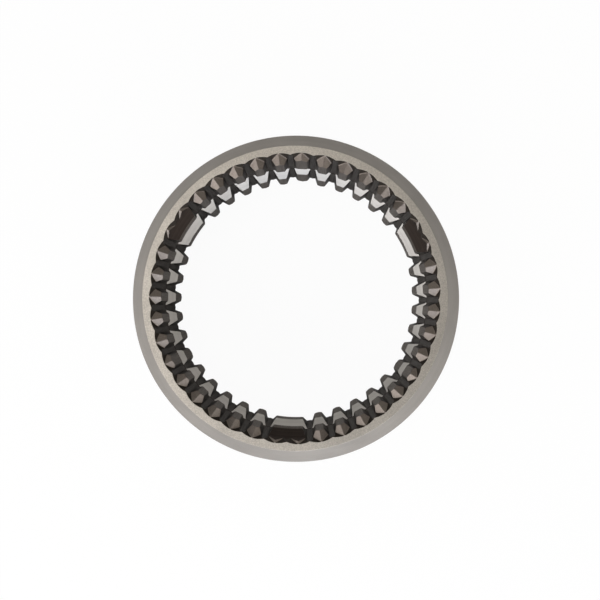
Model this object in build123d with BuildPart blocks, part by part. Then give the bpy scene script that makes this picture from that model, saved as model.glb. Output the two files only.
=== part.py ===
from build123d import *
import os
from math import cos, radians, sin, tan

# Synchronizer sleeve: one steel ring, turned, broached and milled.
# Z is the axis of the ring, and the origin is its centre, in the middle of the detent groove.
# A wide block is centred on -Y, and a short tooth on +Y. The two ends are alike.

# Spline teeth, on equal positions in three equal thirds
thirds = 3
positions_per_third = 13
root_radius = 40.1
tooth_height = 2.35
short_tooth_height = 1.4
space_bottom = 1.55
flank_slope = 24.0
tip_bevel = 0.2

# Turned outside: two bevelled flanges with the shift fork's groove between them
sleeve_width = 26.0
face_land = 1.92
bevel_rise = 5.8
rim_land = 0.7
fork_groove_width = 6.4
fork_floor_wall = 3.1
edge_break = 0.2

# Detent groove across the teeth, half way along the sleeve
detent_bite = 0.1
detent_floor_width = 2.7
detent_angle = 102.0

# Pointed tooth ends: a roof whose ridge falls towards the crest, milled into the end face as a scallop
ridge_slope = 18.0
roof_fall = 33.5
scallop_bite = 0.68
scallop_radius = 7.3

# Pocket in each end of a wide block, steep at the end face and easier below its knee
pocket_lip = 0.05
pocket_knee_drop = 0.65
pocket_knee_depth = 2.5
pocket_depth = 5.35

# Radii, heights and angles that follow from those above
crest_radius = root_radius - tooth_height
short_crest_radius = root_radius - short_tooth_height
detent_floor_radius = root_radius + detent_bite
scallop_reach = root_radius + scallop_bite
face_radius = scallop_reach + face_land
rim_radius = face_radius + bevel_rise
fork_floor_radius = root_radius + fork_floor_wall
half_width = sleeve_width / 2
pitch = 360 / (thirds * positions_per_third)
block_direction = -90
short_tooth_direction = block_direction + (positions_per_third // 2 + 0.5) * pitch
past = 1.0  # how far a cutter runs out of the metal
bore_radius = crest_radius - past


# Half the width of a tooth space, whose straight flanks open towards the axis
def half_space(radius):
    return space_bottom / 2 + (root_radius - radius) * tan(radians(flank_slope))


# One tooth space as the broach leaves it, on +X
with BuildSketch() as tooth_space:
    with BuildLine():
        Polyline(
            (bore_radius, -half_space(bore_radius)),
            (root_radius + past, -half_space(root_radius + past)),
            (root_radius + past, half_space(root_radius + past)),
            (bore_radius, half_space(bore_radius)),
            close=True,
        )
    make_face()
    Circle(root_radius, mode=Mode.INTERSECT)

# One tooth position on +X, as a wedge from the axis out into the ring
with BuildSketch() as tooth_wedge:
    with BuildLine():
        half_wedge = face_radius * tan(radians(pitch / 2))
        Polyline((0, 0), (face_radius, -half_wedge), (face_radius, half_wedge), close=True)
    make_face()

# What a short tooth loses of its crest, on +X
with BuildSketch() as short_tooth_cut:
    add(tooth_wedge.sketch)
    Circle(short_crest_radius, mode=Mode.INTERSECT)

# The cutter that points both ends of one tooth, on +X. Its round wall leaves the scallop in the end face,
# and its underside is the roof, which falls away on both sides of the ridge.
ridge_end = Plane(
    origin=(scallop_reach, 0, half_width),
    x_dir=(0, -1, 0),
    z_dir=(-cos(radians(ridge_slope)), 0, -sin(radians(ridge_slope))),
)
eaves_drop = scallop_radius * tan(radians(roof_fall))
with BuildPart() as pointing_cutter:
    with BuildSketch():
        with Locations((scallop_reach - scallop_radius, 0)):
            Circle(scallop_radius)
        add(tooth_wedge.sketch, mode=Mode.INTERSECT)
    extrude(amount=half_width + past)
    with BuildSketch(ridge_end):
        with BuildLine():
            Polyline(
                (0, 0),
                (scallop_radius, -eaves_drop),
                (scallop_radius, half_width),
                (-scallop_radius, half_width),
                (-scallop_radius, -eaves_drop),
                close=True,
            )
        make_face()
    extrude(amount=2 * scallop_radius, both=True, mode=Mode.INTERSECT)
    mirror(about=Plane.XY)

# The cutter that sinks both pockets of one wide block, on +X, across its two tooth positions
with BuildPart() as pocket_cutter:
    with BuildSketch(Plane.XZ.rotated((0, 0, -pitch))):
        with BuildLine():
            Polyline(
                (bore_radius, half_width + past),
                (root_radius - pocket_lip, half_width + past),
                (root_radius - pocket_lip, half_width),
                (root_radius - pocket_knee_drop, half_width - pocket_knee_depth),
                (crest_radius, half_width - pocket_depth),
                (bore_radius, half_width - pocket_depth),
                close=True,
            )
        make_face()
    revolve(axis=Axis.Z, revolution_arc=2 * pitch)
    mirror(about=Plane.XY)

with BuildPart() as sleeve:
    # Cross-section through the teeth, where each third leaves out the space in the middle of its block
    with BuildSketch() as section:
        Circle(rim_radius)
        Circle(crest_radius, mode=Mode.SUBTRACT)
        with PolarLocations(0, thirds, short_tooth_direction):
            add(short_tooth_cut.sketch, mode=Mode.SUBTRACT)
        with PolarLocations(0, thirds, block_direction):
            with PolarLocations(0, positions_per_third - 1, pitch, 360 / thirds - pitch):
                add(tooth_space.sketch, mode=Mode.SUBTRACT)
        tips = section.vertices().filter_by(lambda v: v.center().length < short_crest_radius + tip_bevel)
        chamfer(tips, tip_bevel)
    extrude(amount=half_width, both=True)

    # Turned outside, drawn for one flange and mirrored for the other
    with BuildSketch(Plane.XZ) as flange:
        with BuildLine():
            Polyline(
                (0, 0),
                (fork_floor_radius, 0),
                (fork_floor_radius, fork_groove_width / 2),
                (rim_radius, fork_groove_width / 2),
                (rim_radius, fork_groove_width / 2 + rim_land),
                (face_radius, half_width),
                (0, half_width),
                close=True,
            )
        make_face()
        levels = flange.vertices().group_by(Axis.Y)
        rim_corner = levels[1].sort_by(Axis.X)[-1]
        face_corner = levels[-1].sort_by(Axis.X)[-1]
        chamfer([rim_corner, face_corner], edge_break)
        mirror(about=Plane.XZ)
    revolve(axis=Axis.Z, mode=Mode.INTERSECT)

    # Detent groove
    with BuildSketch(Plane.XZ):
        with BuildLine():
            half_floor = detent_floor_width / 2
            half_mouth = half_floor + (detent_floor_radius - bore_radius) * tan(radians(detent_angle / 2))
            Polyline(
                (detent_floor_radius, -half_floor),
                (detent_floor_radius, half_floor),
                (bore_radius, half_mouth),
                (bore_radius, -half_mouth),
                close=True,
            )
        make_face()
    revolve(axis=Axis.Z, mode=Mode.SUBTRACT)

    # Pockets in the blocks, then every tooth position is pointed at both ends
    with PolarLocations(0, thirds, block_direction):
        add(pocket_cutter.part, mode=Mode.SUBTRACT)
    with PolarLocations(0, thirds * positions_per_third, block_direction + pitch / 2):
        add(pointing_cutter.part, mode=Mode.SUBTRACT)

sleeve.part.label = "sleeve"
os.makedirs("parts", exist_ok=True)
export_step(sleeve.part, "parts/sleeve.step")
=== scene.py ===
import bmesh
import bpy
import math
from mathutils import Matrix, Vector


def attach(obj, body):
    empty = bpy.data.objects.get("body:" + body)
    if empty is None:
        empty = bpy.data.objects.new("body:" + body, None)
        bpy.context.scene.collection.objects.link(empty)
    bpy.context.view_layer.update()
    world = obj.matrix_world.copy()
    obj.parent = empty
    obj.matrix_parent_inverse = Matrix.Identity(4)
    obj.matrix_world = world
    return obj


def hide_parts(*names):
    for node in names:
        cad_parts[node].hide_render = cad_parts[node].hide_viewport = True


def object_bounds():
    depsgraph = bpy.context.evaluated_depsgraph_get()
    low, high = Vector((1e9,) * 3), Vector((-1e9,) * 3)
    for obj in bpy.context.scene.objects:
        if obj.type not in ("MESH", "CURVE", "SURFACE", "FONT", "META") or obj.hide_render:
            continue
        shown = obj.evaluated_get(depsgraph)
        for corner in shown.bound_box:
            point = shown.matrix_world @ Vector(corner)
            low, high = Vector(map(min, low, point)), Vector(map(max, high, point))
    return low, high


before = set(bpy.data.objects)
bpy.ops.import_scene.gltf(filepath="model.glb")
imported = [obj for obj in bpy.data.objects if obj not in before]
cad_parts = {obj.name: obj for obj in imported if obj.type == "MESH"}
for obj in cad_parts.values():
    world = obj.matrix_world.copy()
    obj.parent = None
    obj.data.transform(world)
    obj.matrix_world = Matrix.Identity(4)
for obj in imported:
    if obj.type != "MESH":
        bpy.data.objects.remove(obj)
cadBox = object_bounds()
mm = 0.001  # the sleeve is modelled in millimetres, and scaled to metres when it is finished
touch = 1e-4  # points closer than this are one


def activate(piece):
    if bpy.context.mode != "OBJECT":
        bpy.ops.object.mode_set(mode="OBJECT")
    bpy.ops.object.select_all(action="DESELECT")
    piece.select_set(True)
    bpy.context.view_layer.objects.active = piece


def edit(piece):
    activate(piece)
    bpy.ops.object.mode_set(mode="EDIT")
    bpy.ops.mesh.select_all(action="SELECT")


def done():
    bpy.ops.object.mode_set(mode="OBJECT")
    return bpy.context.active_object


def pick(kind, test):  # selects the verts, edges or faces that pass the test
    mesh = bmesh.from_edit_mesh(bpy.context.active_object.data)
    bpy.ops.mesh.select_mode(type={"verts": "VERT", "edges": "EDGE", "faces": "FACE"}[kind])
    bpy.ops.mesh.select_all(action="DESELECT")
    for part in getattr(mesh, kind):
        if test(part):
            part.select_set(True)
    bmesh.update_edit_mesh(bpy.context.active_object.data)


def middle(edge):
    return (edge.verts[0].co + edge.verts[1].co) / 2


def rise(edge):
    return abs(edge.verts[0].co.z - edge.verts[1].co.z)


def sliceOff(point, normal, fill=True):  # cuts away what lies on the side that normal points to
    bpy.ops.mesh.select_all(action="SELECT")
    bpy.ops.mesh.bisect(plane_co=point, plane_no=normal, clear_outer=True, use_fill=fill)


def crease(point, normal):
    bpy.ops.mesh.select_all(action="SELECT")
    bpy.ops.mesh.bisect(plane_co=point, plane_no=normal)


def applyModifier(piece, kind, **settings):
    activate(piece)
    modifier = piece.modifiers.new(kind.lower(), kind)
    for name, value in settings.items():
        setattr(modifier, name, value)
    bpy.ops.object.modifier_apply(modifier=modifier.name)


def cut(piece, cutter):  # each cutter leaves its own material on the faces that it makes: the tool's finish, and on the tooth spaces and scallop walls also painted shade
    applyModifier(piece, "BOOLEAN", operation="DIFFERENCE", solver="EXACT", material_mode="TRANSFER",
        object=cutter)


def turnedCopy(source, angle):
    copy = source.copy()
    copy.data = source.data.copy()
    bpy.context.collection.objects.link(copy)
    copy.data.transform(Matrix.Rotation(angle, 4, "Z"))
    return copy


def discard(*pieces):
    for piece in pieces:
        bpy.data.objects.remove(piece)


# Steel as each tool leaves it, with the grain's size in metres and its contrast as a share of the colour. The
# space and wall colours are darkened beyond that to paint the shade in the tooth spaces and on the scallop
# walls.
finishAndShade = {
    "ground": {
        "colour": (0.545, 0.505, 0.45), "roughness": 0.5,
        "grain": 0.00030, "contrast": 0.22, "lay": "even", "bump": 0.15,
    },
    "turned": {
        "colour": (0.303, 0.283, 0.262), "roughness": 0.63,
        "grain": 0.00012, "contrast": 0.10, "lay": "rings", "bump": 0.12,
    },
    "bored": {
        "colour": (0.137, 0.12, 0.107), "roughness": 0.5,
        "grain": 0.00025, "contrast": 0.16, "lay": "axial", "bump": 0.10,
    },
    # broached steel, darkened further to paint the shade in the tooth spaces between the teeth
    "space": {
        "colour": (0.042, 0.035, 0.03), "roughness": 0.5,
        "grain": 0.00025, "contrast": 0.22, "lay": "axial", "bump": 0.15,
    },
    "point": {
        "colour": (0.19, 0.165, 0.147), "roughness": 0.45,
        "grain": 0.00025, "contrast": 0.16, "lay": "even", "bump": 0.08,
    },
    # painted shade: the scallop wall is milled by the same cutter as the roof but made far darker, for the
    # shade under the rim
    "wall": {
        "colour": (0.058, 0.05, 0.043), "roughness": 0.5,
        "grain": 0.00025, "contrast": 0.16, "lay": "even", "bump": 0.08,
    },
    "detent": {
        "colour": (0.68, 0.66, 0.637), "roughness": 0.54,
        "grain": 0.00012, "contrast": 0.08, "lay": "rings", "bump": 0.08,
    },
    "pocket": {
        "colour": (0.055, 0.043, 0.037), "roughness": 0.5,
        "grain": 0.00020, "contrast": 0.2, "lay": "rings", "bump": 0.1,
    },
}
pattern = {
    "blotchSize": 0.012,
    "blotchContrast": 0.08,
    "drawnOut": 0.06,  # scale along the axis of the grain that a broach leaves
    "roughnessShare": 0.05,
    "noiseMiddle": (0.25, 0.75),
}


def node(tree, kind, **settings):
    made = tree.nodes.new("ShaderNode" + kind)
    for name, value in settings.items():
        setattr(made, name, value)
    return made


def ringPlace(tree, place):  # distance from the axis and height, so that the grain runs round the ring
    split = node(tree, "SeparateXYZ")
    flat = node(tree, "CombineXYZ")
    radius = node(tree, "VectorMath", operation="LENGTH")
    rings = node(tree, "CombineXYZ")
    tree.links.new(place, split.inputs[0])
    tree.links.new(split.outputs["X"], flat.inputs["X"])
    tree.links.new(split.outputs["Y"], flat.inputs["Y"])
    tree.links.new(flat.outputs[0], radius.inputs[0])
    tree.links.new(radius.outputs["Value"], rings.inputs["X"])
    tree.links.new(split.outputs["Z"], rings.inputs["Z"])
    return rings.outputs[0]


def axialPlace(tree, place):
    stretch = node(tree, "Mapping")
    stretch.inputs["Scale"].default_value = (1, 1, pattern["drawnOut"])
    tree.links.new(place, stretch.inputs["Vector"])
    return stretch.outputs["Vector"]


def grainPlace(tree, place, lay):
    if lay == "rings":
        return ringPlace(tree, place)
    if lay == "axial":
        return axialPlace(tree, place)
    return place


def noise(tree, place, size, detail):
    texture = node(tree, "TexNoise")
    texture.inputs["Scale"].default_value = 1 / size
    texture.inputs["Detail"].default_value = detail
    tree.links.new(place, texture.inputs["Vector"])
    return texture.outputs["Fac"]


def spread(tree, source, low, high):  # widens the middle of the noise to run from low to high
    span = node(tree, "MapRange")
    span.inputs["From Min"].default_value, span.inputs["From Max"].default_value = pattern["noiseMiddle"]
    span.inputs["To Min"].default_value = low
    span.inputs["To Max"].default_value = high
    tree.links.new(source, span.inputs["Value"])
    return span.outputs["Result"]


def steel(name):
    look = finishAndShade[name]
    material = bpy.data.materials.new(name + "Steel")
    material.use_nodes = True
    tree = material.node_tree
    shader = tree.nodes["Principled BSDF"]
    shader.inputs["Metallic"].default_value = 1
    place = node(tree, "TexCoord").outputs["Object"]
    grain = noise(tree, grainPlace(tree, place, look["lay"]), look["grain"], detail=3)
    blotches = noise(tree, place, pattern["blotchSize"], detail=2)
    tone = node(tree, "Math", operation="MULTIPLY")
    tones = ((grain, look["contrast"]), (blotches, pattern["blotchContrast"]))
    for (source, contrast), socket in zip(tones, tone.inputs):
        tree.links.new(spread(tree, source, 1 - contrast, 1 + contrast), socket)
    colour = node(tree, "VectorMath", operation="SCALE")
    colour.inputs[0].default_value = look["colour"]
    tree.links.new(tone.outputs[0], colour.inputs["Scale"])
    tree.links.new(colour.outputs[0], shader.inputs["Base Color"])
    rough, share = look["roughness"], pattern["roughnessShare"]
    tree.links.new(spread(tree, grain, rough + share, rough - share), shader.inputs["Roughness"])
    relief = node(tree, "Bump")
    relief.inputs["Strength"].default_value = look["bump"]
    relief.inputs["Distance"].default_value = look["grain"] / 2
    tree.links.new(grain, relief.inputs["Height"])
    tree.links.new(relief.outputs["Normal"], shader.inputs["Normal"])
    return material


finishAndShadeSteels = {name: steel(name) for name in finishAndShade}
print("finishes:", ", ".join(finishAndShadeSteels))

# Turned ring and its tooth positions
sleeve = {
    "toothPositions": 39,
    "thirds": 3,
    "crestRadius": 37.75,
    "shortCrestRadius": 38.7,
    "rootRadius": 40.1,
    "spaceBottom": 1.55,
    "flankSlope": 24.0,
    "tipRound": 0.52,
    "rootRound": 0.2,
    "faceRadius": 42.7,
    "bevelFoot": 3.9,       # height at which the bevel meets the rim
    "forkHalfWidth": 3.2,
    "forkFloorRadius": 43.2,
    "edgeBreak": 0.07,
    "edgeAngle": 31.0,      # edges sharper than this are broken
    "arcSteps": 6,          # facets of a turned surface over one tooth position
}
rimRadius = cadBox[1].y / mm
halfWidth = cadBox[1].z / mm
innerReach = sleeve["crestRadius"] - 1  # the cutters begin clear of the teeth
pitch = math.radians(360 / sleeve["toothPositions"])


def spinSector(span, steps):  # turns the section in the XZ plane into a closed sector centred on +X
    bpy.ops.mesh.select_all(action="SELECT")
    bpy.ops.mesh.spin(steps=steps, angle=span, center=(0, 0, 0), axis=(0, 0, 1))
    bpy.ops.mesh.select_all(action="SELECT")
    bpy.ops.mesh.remove_doubles(threshold=touch)
    bpy.ops.mesh.normals_make_consistent(inside=False)
    sector = done()
    sector.data.transform(Matrix.Rotation(span / 2, 4, "Z"))  # the spin runs clockwise
    return sector


def blankSector(innerRadius):  # upper half of the turned ring over one tooth position
    bpy.ops.mesh.primitive_plane_add(size=1, rotation=(math.pi / 2, 0, 0))
    section = bpy.context.active_object
    bpy.ops.object.transform_apply(rotation=True)
    edit(section)
    bpy.ops.transform.resize(value=(rimRadius - innerRadius, 1, halfWidth))
    bpy.ops.transform.translate(value=((innerRadius + rimRadius) / 2, 0, halfWidth / 2))
    bevelRun = Vector((rimRadius - sleeve["faceRadius"], 0, sleeve["bevelFoot"] - halfWidth))
    sliceOff((sleeve["faceRadius"], 0, halfWidth), bevelRun.cross(Vector((0, 1, 0))).normalized(), fill=False)
    crease((0, 0, sleeve["forkHalfWidth"]), (0, 0, 1))
    crease((sleeve["forkFloorRadius"], 0, 0), (1, 0, 0))
    groove = Vector(((sleeve["forkFloorRadius"] + rimRadius) / 2, 0, sleeve["forkHalfWidth"] / 2))
    pick("faces", lambda face: (face.calc_center_median() - groove).length < 0.5)
    bpy.ops.mesh.delete(type="FACE")
    bpy.ops.mesh.select_all(action="SELECT")
    bpy.ops.mesh.dissolve_limited(angle_limit=0.01)
    blank = spinSector(pitch, sleeve["arcSteps"])
    for name in ("turned", "ground", "bored"):
        blank.data.materials.append(finishAndShadeSteels[name])
    for face in blank.data.polygons:
        if face.normal.z > 0.99 and face.center.z > halfWidth - 0.1:
            face.material_index = 1
        elif face.normal.x < -0.9:
            face.material_index = 2
    return blank


def spaceCutter():  # the broach for one tooth space, whose straight flanks open towards the axis
    bpy.ops.mesh.primitive_cube_add(size=1)
    cutter = bpy.context.active_object
    edit(cutter)
    depth = sleeve["rootRadius"] - innerReach
    mouth = sleeve["spaceBottom"] + 2 * depth * math.tan(math.radians(sleeve["flankSlope"]))
    bpy.ops.transform.resize(value=(depth, sleeve["spaceBottom"], 2 * halfWidth + 2))
    bpy.ops.transform.translate(value=(innerReach + depth / 2, 0, 0))
    pick("verts", lambda vert: vert.co.x < innerReach + 0.1)
    bpy.ops.transform.resize(value=(1, mouth / sleeve["spaceBottom"], 1))
    pick("edges", lambda edge: middle(edge).x > sleeve["rootRadius"] - 0.1 and rise(edge) > 1)
    bpy.ops.mesh.bevel(offset=sleeve["rootRound"], segments=2, affect="EDGES")
    return done()


# The cutter that points one tooth end: its round wall leaves the scallop, and its underside is the roof
scallop = {
    "reach": 40.78,         # radius that the wall reaches, above the ridge
    "cutterRadius": 7.3,    # at the end face
    "wallAngle": 66.0,      # of the tapered wall, up from the end face
    "wallHalf": 7.0,        # how far the cutter goes below and above the end face
    "ridgeSlope": 18.0,
    "roofFall": 33.5,
    "blend": 0.25,          # between the wall and the roof
    "blendReach": 3.5,      # how far in from the wall it runs
    "ridgeRound": 0.14,
    "sides": 96,
}


def isRoof(face):
    return face.normal.z < -0.7


def isWallFoot(edge):
    if len(edge.link_faces) != 2:
        return False
    oneSideRoof = isRoof(edge.link_faces[0]) != isRoof(edge.link_faces[1])
    return oneSideRoof and middle(edge).x > scallop["reach"] - scallop["blendReach"]


def isRidge(edge):  # the long edge, and not the short ones of the blend
    along = all(abs(vert.co.y) < touch for vert in edge.verts)
    return along and middle(edge).z < halfWidth and edge.calc_length() > 1


def pointingCutter():
    centre = scallop["reach"] - scallop["cutterRadius"]
    slope = math.radians(scallop["ridgeSlope"])
    fall = math.radians(scallop["roofFall"])
    roofNormal = Vector((-math.sin(slope) * math.cos(fall), math.sin(fall), math.cos(slope) * math.cos(fall)))
    taper = scallop["wallHalf"] / math.tan(math.radians(scallop["wallAngle"]))
    bpy.ops.mesh.primitive_cone_add(vertices=scallop["sides"], depth=2 * scallop["wallHalf"],
        radius1=scallop["cutterRadius"] - taper, radius2=scallop["cutterRadius"] + taper,
        location=(centre, 0, halfWidth))
    cutter = bpy.context.active_object
    bpy.ops.object.transform_apply(location=True)
    edit(cutter)
    halfSide = math.pi / scallop["sides"]
    bpy.ops.transform.rotate(value=halfSide, orient_axis="Z", center_override=(centre, 0, 0))
    sliceOff((scallop["reach"], 0, halfWidth), -roofNormal)
    sliceOff((0, 0, 0), (0, -1, 0), fill=False)
    applyModifier(cutter, "MIRROR", use_axis=(False, True, False), merge_threshold=touch)
    edit(cutter)
    bpy.ops.mesh.normals_make_consistent(inside=False)
    pick("edges", isWallFoot)
    bpy.ops.mesh.bevel(offset=scallop["blend"], segments=4, affect="EDGES")
    pick("edges", isRidge)
    bpy.ops.mesh.bevel(offset=scallop["ridgeRound"], segments=2, affect="EDGES")
    return done()


def ringCutter(outline):  # a turning tool's path, as (radius, height) points, over two tooth positions
    bpy.ops.mesh.primitive_circle_add(vertices=len(outline), fill_type="NGON")
    cutter = bpy.context.active_object
    for vert, (radius, height) in zip(cutter.data.vertices, outline):
        vert.co = (radius, 0, height)
    edit(cutter)
    return spinSector(2 * pitch, 2 * sleeve["arcSteps"])


# Detent groove across the teeth
detent = {"floorRadius": 40.2, "halfFloor": 1.35, "flankAngle": 51.0}


def detentCutter():
    slope = math.tan(math.radians(detent["flankAngle"]))
    return ringCutter([
        (detent["floorRadius"], -1),
        (detent["floorRadius"], detent["halfFloor"]),
        (sleeve["rootRadius"], detent["halfFloor"] + (detent["floorRadius"] - sleeve["rootRadius"]) * slope),
        (innerReach, detent["halfFloor"] + (detent["floorRadius"] - innerReach) * slope),
        (innerReach, -1),
    ])


# Pocket in the end of a wide block
pocket = {"lip": 0.05, "kneeDrop": 0.65, "kneeDepth": 2.5, "depth": 5.35}


def pocketCutter():
    return ringCutter([
        (innerReach, halfWidth + 1),
        (sleeve["rootRadius"] - pocket["lip"], halfWidth + 1),
        (sleeve["rootRadius"] - pocket["lip"], halfWidth),
        (sleeve["rootRadius"] - pocket["kneeDrop"], halfWidth - pocket["kneeDepth"]),
        (sleeve["crestRadius"], halfWidth - pocket["depth"]),
        (innerReach, halfWidth - pocket["depth"]),
    ])


def buildCutters():
    cutters = {
        "space": spaceCutter(),
        "point": pointingCutter(),
        "detent": detentCutter(),
        "pocket": pocketCutter(),
    }
    for name, cutter in cutters.items():
        cutter.data.materials.append(finishAndShadeSteels[name])
    mill = cutters["point"].data
    # the wall faces take the wall colour, which paints the shade under the rim
    mill.materials.append(finishAndShadeSteels["wall"])
    for face in mill.polygons:
        if not isRoof(face):
            face.material_index = 1
    groove = cutters["detent"].data
    # the faces at the roots take the space colour, with its painted shade
    groove.materials.append(finishAndShadeSteels["space"])
    for face in groove.polygons:
        if face.center.xy.length > sleeve["rootRadius"] - 0.05:  # the groove only grazes the tooth roots
            face.material_index = 1
    return cutters


def isTip(edge, innerRadius):
    place = middle(edge)
    onSide = abs(math.atan2(place.y, place.x)) > pitch / 2 - 1e-3
    if len(edge.link_faces) != 2 or rise(edge) < 1 or onSide:
        return False
    return place.xy.length < innerRadius + 0.05 and edge.calc_face_angle() > math.radians(30)


def isOpenSide(face):  # where one position meets the next, and where the two halves meet
    side = all(abs(abs(math.atan2(vert.co.y, vert.co.x)) - pitch / 2) < 1e-4 for vert in face.verts)
    return side or all(abs(vert.co.z) < touch for vert in face.verts)


def toothPosition(innerRadius, spaces, pocketed, cutters):  # spaces are the sides that the broach passes
    piece = blankSector(innerRadius)
    for side in spaces:
        broach = turnedCopy(cutters["space"], side * pitch / 2)
        cut(piece, broach)
        discard(broach)
    edit(piece)
    pick("edges", lambda edge: isTip(edge, innerRadius))
    bpy.ops.mesh.bevel(offset=sleeve["tipRound"], segments=4, affect="EDGES")
    done()
    if pocketed:
        cut(piece, cutters["pocket"])
    cut(piece, cutters["point"])
    cut(piece, cutters["detent"])
    edit(piece)
    pick("faces", isOpenSide)
    bpy.ops.mesh.delete(type="FACE")
    return done()


def joinedRing(sectors):
    activate(sectors[0])
    for sector in sectors:
        sector.select_set(True)
    bpy.ops.object.join()
    ring = bpy.context.active_object
    edit(ring)
    bpy.ops.mesh.remove_doubles(threshold=20 * touch)
    applyModifier(ring, "MIRROR", use_axis=(False, False, True), merge_threshold=10 * touch)
    return ring


def breakEdges(ring):
    edit(ring)
    bpy.ops.mesh.normals_make_consistent(inside=False)
    sharp = math.radians(sleeve["edgeAngle"])
    pick("edges", lambda edge: edge.is_convex and edge.calc_face_angle() > sharp)
    bpy.ops.transform.edge_bevelweight(value=1)
    done()
    applyModifier(ring, "BEVEL", width=sleeve["edgeBreak"], segments=2, limit_method="WEIGHT",
        use_clamp_overlap=False)
    bpy.ops.object.shade_smooth()
    applyModifier(ring, "WEIGHTED_NORMAL", mode="FACE_AREA", weight=100)


def buildSleeve():
    cutters = buildCutters()
    kinds = {
        "regular": toothPosition(sleeve["crestRadius"], (-1, 1), False, cutters),
        "short": toothPosition(sleeve["shortCrestRadius"], (-1, 1), False, cutters),
        "blockStart": toothPosition(sleeve["crestRadius"], (-1,), True, cutters),
        "blockEnd": toothPosition(sleeve["crestRadius"], (1,), True, cutters),
    }
    perThird = sleeve["toothPositions"] // sleeve["thirds"]
    order = ["blockEnd"] + ["regular"] * (perThird - 2) + ["blockStart"]
    order[perThird // 2] = "short"
    sectors = []
    for place in range(sleeve["toothPositions"]):
        sectors.append(turnedCopy(kinds[order[place % perThird]], (place + 0.5) * pitch - math.pi / 2))
    discard(*cutters.values(), *kinds.values())
    ring = joinedRing(sectors)
    ring.name = "shiftSleeve"
    breakEdges(ring)
    ring.data.transform(Matrix.Scale(mm, 4))
    return ring


ring = buildSleeve()
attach(ring, "root")
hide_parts("sleeve")
print("sleeve:", len(ring.data.polygons), "faces")

# White paper under the sleeve, which keeps a part of its shadow
sheet = {
    "size": 4.0,
    "colour": (0.95, 0.95, 0.95, 1),
    "white": 0.95,         # share that the camera sees as plain white
    "whiteInMetal": 0.06,  # share of that white in what metal and glass show
    "clearance": 0.00002,
}


def whiteSeen(tree):  # 1 for the camera, and whiteInMetal for what metal and glass show
    ray = node(tree, "LightPath")
    shown = node(tree, "Math", operation="ADD")
    tree.links.new(ray.outputs["Is Glossy Ray"], shown.inputs[0])
    tree.links.new(ray.outputs["Is Transmission Ray"], shown.inputs[1])
    seen = node(tree, "Math", operation="MULTIPLY_ADD", use_clamp=True)
    seen.inputs[1].default_value = sheet["whiteInMetal"]
    tree.links.new(shown.outputs[0], seen.inputs[0])
    tree.links.new(ray.outputs["Is Camera Ray"], seen.inputs[2])
    return seen.outputs[0]


def paper():
    material = bpy.data.materials.new("paper")
    material.use_nodes = True
    tree = material.node_tree
    tree.nodes.clear()
    share = node(tree, "Math", operation="MULTIPLY")
    share.inputs[1].default_value = sheet["white"]
    tree.links.new(whiteSeen(tree), share.inputs[0])
    lit = node(tree, "BsdfDiffuse")
    lit.inputs["Color"].default_value = sheet["colour"]
    blend = node(tree, "MixShader")
    tree.links.new(share.outputs[0], blend.inputs["Fac"])
    tree.links.new(lit.outputs[0], blend.inputs[1])
    tree.links.new(node(tree, "Emission").outputs[0], blend.inputs[2])
    tree.links.new(blend.outputs[0], node(tree, "OutputMaterial").inputs["Surface"])
    return material


bpy.ops.object.select_all(action="DESELECT")
bpy.ops.mesh.primitive_plane_add(size=sheet["size"], location=(0, 0, cadBox[0].z - sheet["clearance"]))
floor = bpy.context.active_object
floor.name = "floor"
floor.data.materials.append(paper())
print("floor")

# Camera and lamps stand in the photograph's own upright, which the sleeve is turned a little against
view = {
    "turn": 3.0,
    "place": (4.16, -1.36, 156),  # in millimetres
    "back": (9.1, -3.0, 512),     # the way that the camera's back faces
    "lens": 30.72,
    "sensor": 36,
}
photoTurn = Matrix.Rotation(math.radians(view["turn"]), 3, "Z")
camera = bpy.data.objects.new("camera", bpy.data.cameras.new("camera"))
bpy.context.collection.objects.link(camera)
camera.data.lens = view["lens"]
camera.data.sensor_width = view["sensor"]
camera.data.clip_start = 0.001
back = photoTurn @ Vector(view["back"]).normalized()
right = (photoTurn @ Vector((0, 1, 0))).cross(back).normalized()
axes = Matrix((right, back.cross(right), back)).transposed().to_4x4()
camera.matrix_world = Matrix.Translation(photoTurn @ Vector(view["place"]) * mm) @ axes
bpy.context.scene.camera = camera

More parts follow.
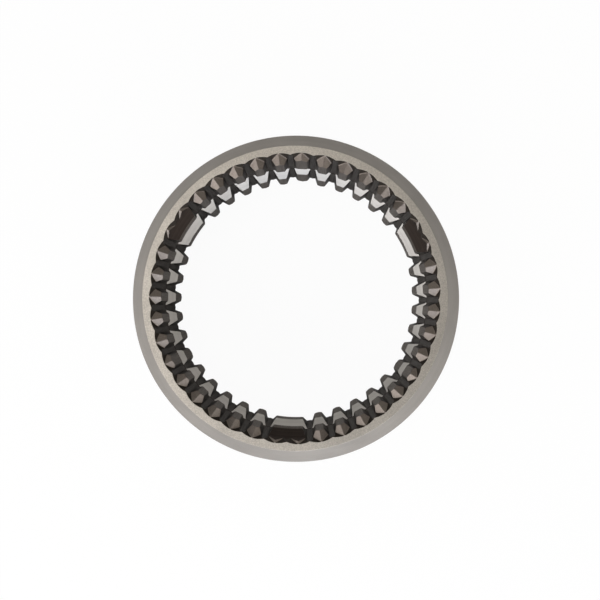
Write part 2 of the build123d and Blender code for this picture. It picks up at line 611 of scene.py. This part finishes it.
# Soft lamps: azimuth runs clockwise from the picture's top, and tilt is down from the camera's direction
lamps = {
    "below": {"azimuth": 175, "tilt": 72, "size": 0.6, "watts": 3.6, "colour": (0.88, 0.93, 1.0)},
    "belowRight": {"azimuth": 138, "tilt": 80, "size": 0.6, "watts": 2.5, "colour": (1.0, 0.99, 0.98)},
    "belowLeft": {"azimuth": 222, "tilt": 65, "size": 0.6, "watts": 3.1, "colour": (1.0, 0.98, 0.98)},
    "left": {"azimuth": 262, "tilt": 68, "size": 0.6, "watts": 2.0, "colour": (1.0, 0.98, 0.95)},
    "overhead": {"azimuth": 275, "tilt": 12, "size": 0.5, "watts": 1.3, "colour": (1.0, 0.98, 0.96)},
    "aboveLeft": {"azimuth": 318, "tilt": 76, "size": 0.6, "watts": 0.4, "colour": (1.0, 0.97, 0.9)},
    "right": {"azimuth": 100, "tilt": 72, "size": 0.6, "watts": 0.95, "colour": (1.0, 0.95, 0.86)},
    "aboveRight": {"azimuth": 48, "tilt": 60, "size": 0.6, "watts": 0.6, "colour": (1.0, 0.96, 0.88)},
    "above": {"azimuth": 355, "tilt": 52, "size": 0.6, "watts": 0.9, "colour": (1.0, 0.96, 0.87)},
}
surround = {"lampDistance": 0.8, "worldLevel": 0.1}


def softLamp(name, azimuth, tilt, size, watts, colour):
    turn, lean = math.radians(azimuth), math.radians(tilt)
    way = Vector((math.sin(turn) * math.sin(lean), math.cos(turn) * math.sin(lean), math.cos(lean)))
    place = photoTurn @ way * surround["lampDistance"]
    lamp = bpy.data.objects.new(name, bpy.data.lights.new(name, "AREA"))
    lamp.data.shape = "DISK"
    lamp.data.size = size
    lamp.data.energy = watts
    lamp.data.color = colour
    lamp.location = place
    lamp.rotation_mode = "QUATERNION"
    lamp.rotation_quaternion = place.to_track_quat("Z", "Y")
    bpy.context.collection.objects.link(lamp)


for name, settings in lamps.items():
    softLamp(name, **settings)
world = bpy.data.worlds.new("world")
bpy.context.scene.world = world
world.use_nodes = True
background = world.node_tree.nodes["Background"]
background.inputs["Color"].default_value = (1, 1, 1, 1)
level = node(world.node_tree, "Math", operation="MAXIMUM")
level.inputs[1].default_value = surround["worldLevel"]
world.node_tree.links.new(whiteSeen(world.node_tree), level.inputs[0])
world.node_tree.links.new(level.outputs[0], background.inputs["Strength"])
bpy.context.scene.view_settings.view_transform = "Standard"
print("camera and lamps:", ", ".join(lamps))
